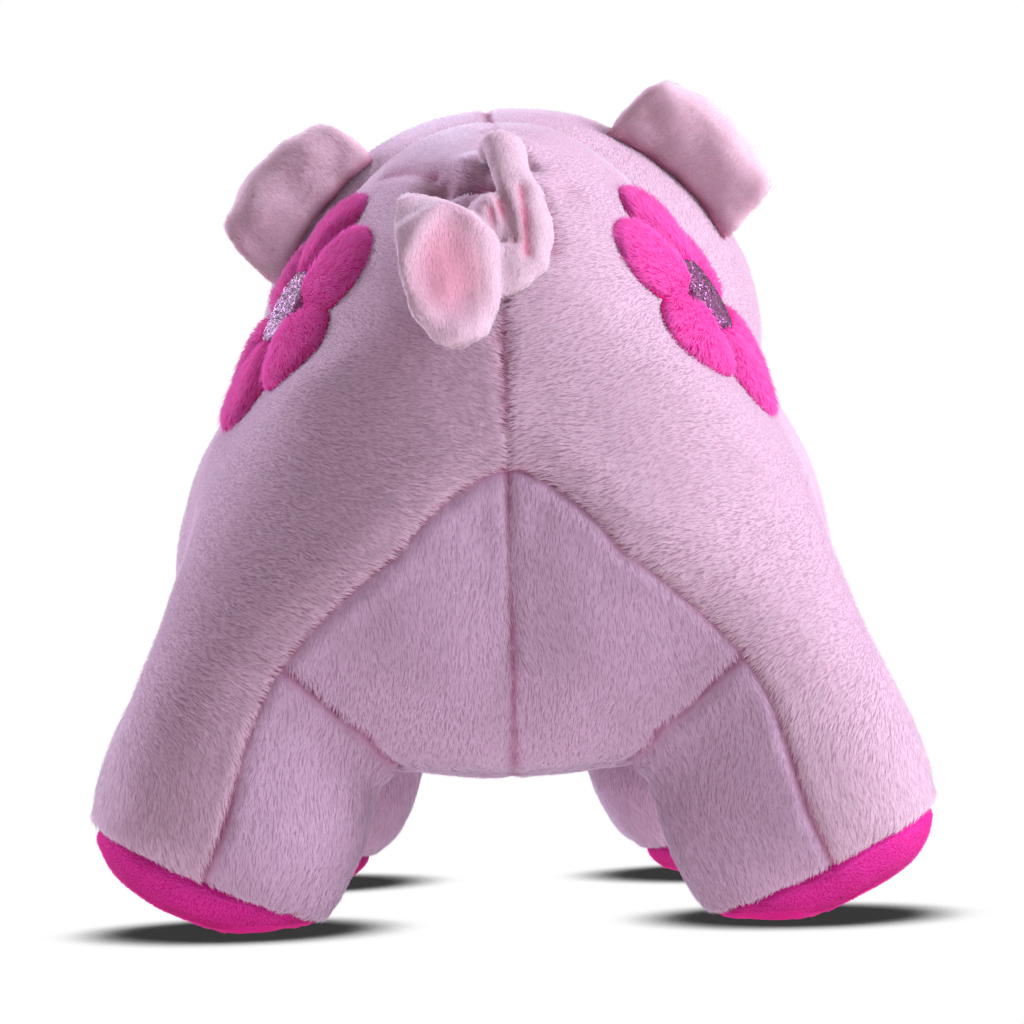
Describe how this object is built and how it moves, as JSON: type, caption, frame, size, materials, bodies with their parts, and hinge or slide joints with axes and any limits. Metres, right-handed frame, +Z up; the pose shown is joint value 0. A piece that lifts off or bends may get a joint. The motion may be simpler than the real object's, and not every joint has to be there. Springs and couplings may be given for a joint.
{
  "type": "plush toy pig",
  "caption": "Plush toy pig that stands on four stuffed legs, with folded ears, a curled tail, coloured soles and a flower patch on each flank.",
  "frame": {"origin": "on the floor under the middle of the toy's length and width", "axes": "+Z up, -Y towards the snout, +Y towards the tail, +X towards the pig's own left side"},
  "size_m": [0.241, 0.3328, 0.2625],
  "materials": {
    "plush_pink": "short pile plush",
    "plush_gusset": "short pile plush",
    "plush_hot_pink": "short pile plush",
    "stuffing": "soft polyester filling",
    "glitter_fabric": "fine glitter on a mauve ground",
    "eye_plastic": "polished black",
    "washer_plastic": "white, unpolished",
    "nostril_thread": "satin stitch"
  },
  "bodies": {
    "toy": {"flank_left": "plush_pink", "belly_gusset_left": "plush_gusset", "head_left": "plush_pink", "flower_left": "plush_hot_pink", "flower_centre_left": "glitter_fabric", "eye_left": "eye_plastic", "eye_washer_left": "washer_plastic", "nostril_left": "nostril_thread", "flank_right": "plush_pink", "belly_gusset_right": "plush_gusset", "head_right": "plush_pink", "flower_right": "plush_hot_pink", "flower_centre_right": "glitter_fabric", "eye_right": "eye_plastic", "eye_washer_right": "washer_plastic", "nostril_right": "nostril_thread", "inner_leg_rear_left": "plush_gusset", "sole_rear_left": "plush_hot_pink", "stuffing_leg_rear_left": "stuffing", "inner_leg_rear_right": "plush_gusset", "sole_rear_right": "plush_hot_pink", "stuffing_leg_rear_right": "stuffing", "inner_leg_front_left": "plush_gusset", "sole_front_left": "plush_hot_pink", "stuffing_leg_front_left": "stuffing", "inner_leg_front_right": "plush_gusset", "sole_front_right": "plush_hot_pink", "stuffing_leg_front_right": "stuffing", "stuffing_trunk": "stuffing", "stuffing_head": "stuffing", "stuffing_snout": "stuffing", "snout_band": "plush_pink", "snout_face": "plush_hot_pink"},
    "ear_left": {"ear_back_left": "plush_pink", "ear_front_left": "plush_gusset"},
    "ear_right": {"ear_back_right": "plush_pink", "ear_front_right": "plush_gusset"},
    "tail": {"tail": "plush_pink"}
  },
  "joints": [
    {"name": "ear_left_seam", "type": "hinge", "parent": "toy", "child": "ear_left", "pos_m": [0.05517, -0.05016, 0.21806], "axis": [0.6947, 0, -0.7193], "range_deg": [-45, 9], "stiffness_Nm_per_rad": 0.01},
    {"name": "ear_right_seam", "type": "hinge", "parent": "toy", "child": "ear_right", "pos_m": [-0.05908, -0.05016, 0.22931], "axis": [0.6947, 0, 0.7193], "range_deg": [-45, 9], "stiffness_Nm_per_rad": 0.01},
    {"name": "tail_seam", "type": "hinge", "parent": "toy", "child": "tail", "pos_m": [-0.00041, 0.12102, 0.21757], "axis": [1, 0, 0], "range_deg": [0, 40], "stiffness_Nm_per_rad": 0.01}
  ]
}
